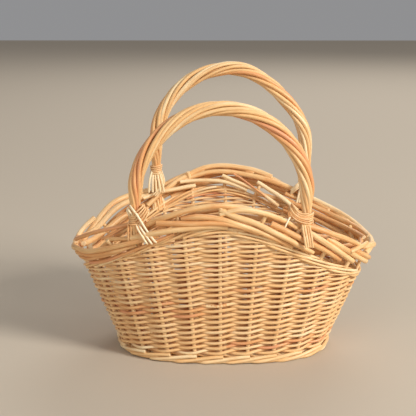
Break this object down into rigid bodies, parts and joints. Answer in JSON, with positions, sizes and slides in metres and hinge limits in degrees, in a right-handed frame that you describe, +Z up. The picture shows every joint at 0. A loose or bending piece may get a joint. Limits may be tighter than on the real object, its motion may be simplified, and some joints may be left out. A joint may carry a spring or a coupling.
{
  "type": "egg collection basket",
  "caption": "Oval willow basket with flared woven sides, a saddle-shaped rod border and two twisted bow handles, for gathering eggs by hand.",
  "frame": {"origin": "centre of the footprint, on the surface the basket stands on", "axes": "+Z up, +X along the oval's long side, +Y from the lower front handle to the taller back handle"},
  "size_m": [0.2938, 0.2008, 0.2762],
  "materials": {
    "willow_weave": "peeled willow, satin",
    "willow_stake": "peeled willow, satin",
    "willow_base": "peeled willow, satin",
    "willow_border": "peeled willow, satin",
    "willow_handle": "peeled willow, satin",
    "split_cane": "split cane, satin"
  },
  "bodies": {
    "root": {"back_handle_core": "willow_handle", "back_handle_strands": "willow_handle", "back_left_collar": "split_cane", "back_left_lashing": "split_cane", "back_right_collar": "split_cane", "back_right_lashing": "split_cane", "base_cross_stick_1": "willow_base", "base_cross_stick_2": "willow_base", "base_cross_stick_3": "willow_base", "base_cross_stick_4": "willow_base", "base_cross_stick_5": "willow_base", "base_long_stick_1": "willow_base", "base_long_stick_2": "willow_base", "base_long_stick_3": "willow_base", "base_weave": "willow_base", "border_rod_inner_1a": "willow_border", "border_rod_inner_1b": "willow_border", "border_rod_inner_2a": "willow_border", "border_rod_inner_2b": "willow_border", "border_rod_inner_3a": "willow_border", "border_rod_inner_3b": "willow_border", "border_rod_outer_1a": "willow_border", "border_rod_outer_1b": "willow_border", "border_rod_outer_2a": "willow_border", "border_rod_outer_2b": "willow_border", "border_rod_outer_3a": "willow_border", "border_rod_outer_3b": "willow_border", "foot_wale": "willow_weave", "front_handle_core": "willow_handle", "front_handle_strands": "willow_handle", "front_left_collar": "split_cane", "front_left_lashing": "split_cane", "front_right_collar": "split_cane", "front_right_lashing": "split_cane", "side_stake_01": "willow_stake", "side_stake_02": "willow_stake", "side_stake_03": "willow_stake", "side_stake_04": "willow_stake", "side_stake_05": "willow_stake", "side_stake_06": "willow_stake", "side_stake_07": "willow_stake", "side_stake_08": "willow_stake", "side_stake_09": "willow_stake", "side_stake_10": "willow_stake", "side_stake_11": "willow_stake", "side_stake_12": "willow_stake", "side_stake_13": "willow_stake", "side_stake_14": "willow_stake", "side_stake_15": "willow_stake", "side_stake_16": "willow_stake", "side_stake_17": "willow_stake", "side_stake_18": "willow_stake", "side_stake_19": "willow_stake", "side_stake_20": "willow_stake", "side_stake_21": "willow_stake", "side_stake_22": "willow_stake", "side_weave_lower": "willow_weave", "side_weave_upper": "willow_weave", "top_wale": "willow_weave"}
  },
  "joints": []
}
